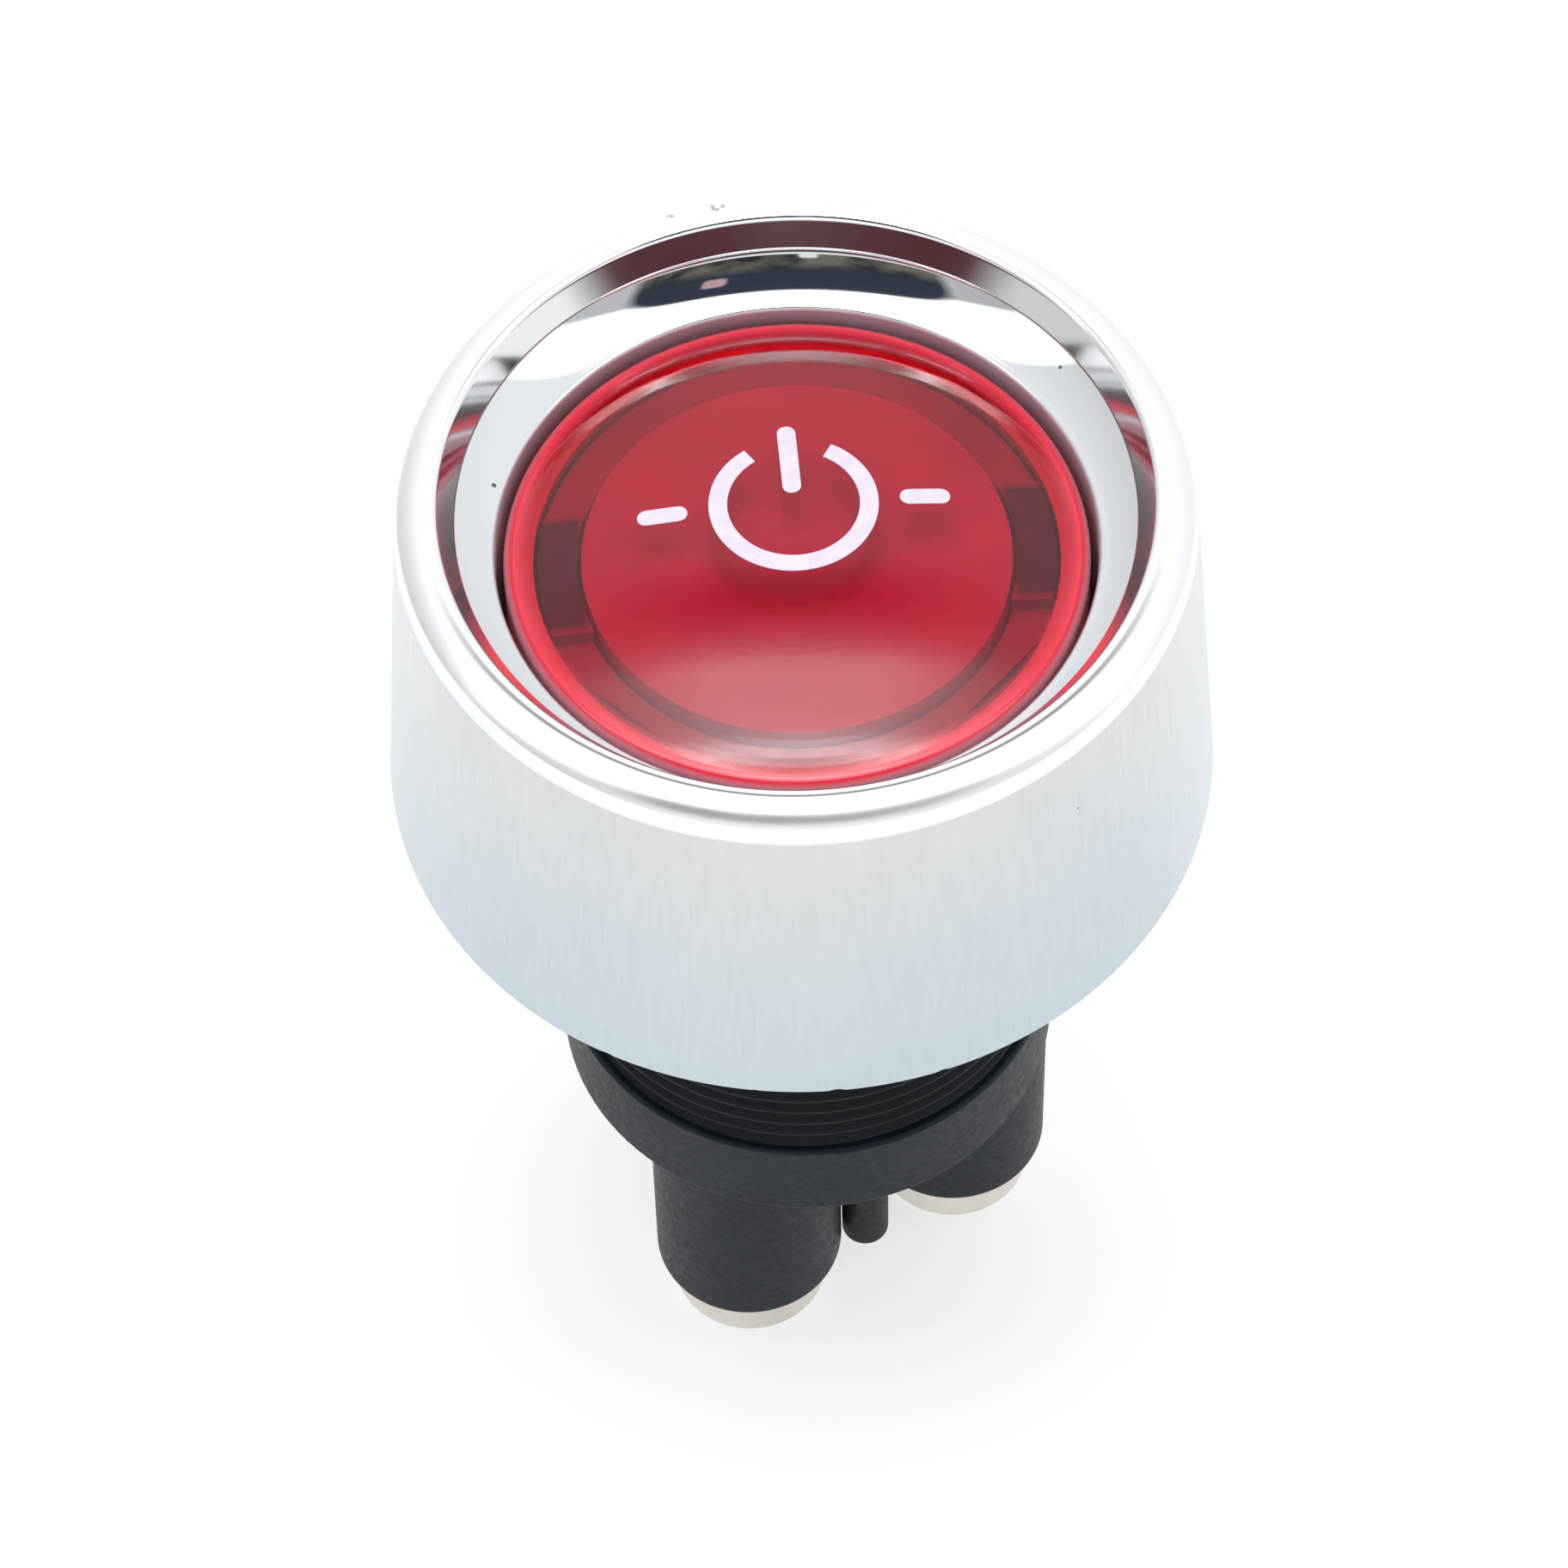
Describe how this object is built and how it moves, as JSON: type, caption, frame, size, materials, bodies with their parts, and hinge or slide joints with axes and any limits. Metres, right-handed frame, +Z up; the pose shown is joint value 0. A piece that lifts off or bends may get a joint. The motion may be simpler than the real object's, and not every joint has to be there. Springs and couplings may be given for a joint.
{
  "type": "panel push button",
  "caption": "Illuminated momentary push button for a panel: chrome bezel with a dished ring, red lens cap, threaded neck with nut and gasket, insulated screw terminals behind.",
  "frame": {"origin": "on the button's axis, in the plane of the terminal bushes' undersides", "axes": "+Z up along the button's axis towards the cap; +X the reading direction of the start mark, in which the common terminal stands; -Y the front"},
  "size_m": [0.0392, 0.0392, 0.0569],
  "materials": {
    "chrome_shell": "bright chrome plating with fine handling marks",
    "chrome_dish": "mirror chrome plating",
    "black_body": "satin moulded plastic",
    "gasket_rubber": "matte rubber",
    "black_nut": "satin moulded plastic",
    "black_base": "satin moulded plastic",
    "block_phenolic": "moulded phenolic",
    "plated_terminal": "nickel plated brass, satin",
    "black_peg": "moulded sleeve",
    "contact_silver": "silver contact rivets",
    "holder_nylon": "natural nylon",
    "lamp_epoxy": "clear red epoxy",
    "lead_wire": "tinned wire",
    "resistor_body": "lacquered ceramic",
    "spring_steel": "drawn spring wire",
    "red_lens": "translucent red, polished",
    "white_print": "pad printed ink",
    "diffuser_white": "milky diffuser",
    "carrier_dark": "moulded plastic",
    "plunger_acetal": "moulded acetal",
    "clip_steel": "sprung steel",
    "bridge_brass": "stamped brass"
  },
  "bodies": {
    "housing": {"bezel_shell": "chrome_shell", "dish_ring": "chrome_dish", "barrel": "black_body", "panel_gasket": "gasket_rubber", "mounting_nut": "black_nut", "terminal_base": "black_base", "contact_block": "block_phenolic", "terminal_common": "plated_terminal", "terminal_switched": "plated_terminal", "terminal_lamp": "plated_terminal", "lamp_peg": "black_peg", "fixed_contacts": "contact_silver", "lamp_holder": "holder_nylon", "lamp": "lamp_epoxy", "lamp_leads": "lead_wire", "lamp_resistor": "resistor_body", "return_spring": "spring_steel"},
    "button": {"button_cap": "red_lens", "start_mark": "white_print", "diffuser": "diffuser_white", "cap_carrier": "carrier_dark", "plunger": "plunger_acetal", "retaining_clip": "clip_steel"},
    "bridge": {"contact_bridge": "bridge_brass", "bridge_contacts": "contact_silver", "contact_spring": "spring_steel"}
  },
  "joints": [
    {"name": "button_press", "type": "slide", "parent": "housing", "child": "button", "axis": [0, 0, -1], "range_m": [0, 0.0025], "stiffness_N_per_m": 900, "springref_m": -0.002, "deforming": ["return_spring"]},
    {"name": "bridge_slide", "type": "slide", "parent": "housing", "child": "bridge", "axis": [0, 0, -1], "range_m": [0, 0.00155], "deforming": ["contact_spring"]}
  ],
  "couplings": [
    {"joint": "bridge_slide", "follows": "button_press", "ratio": 0.62}
  ]
}
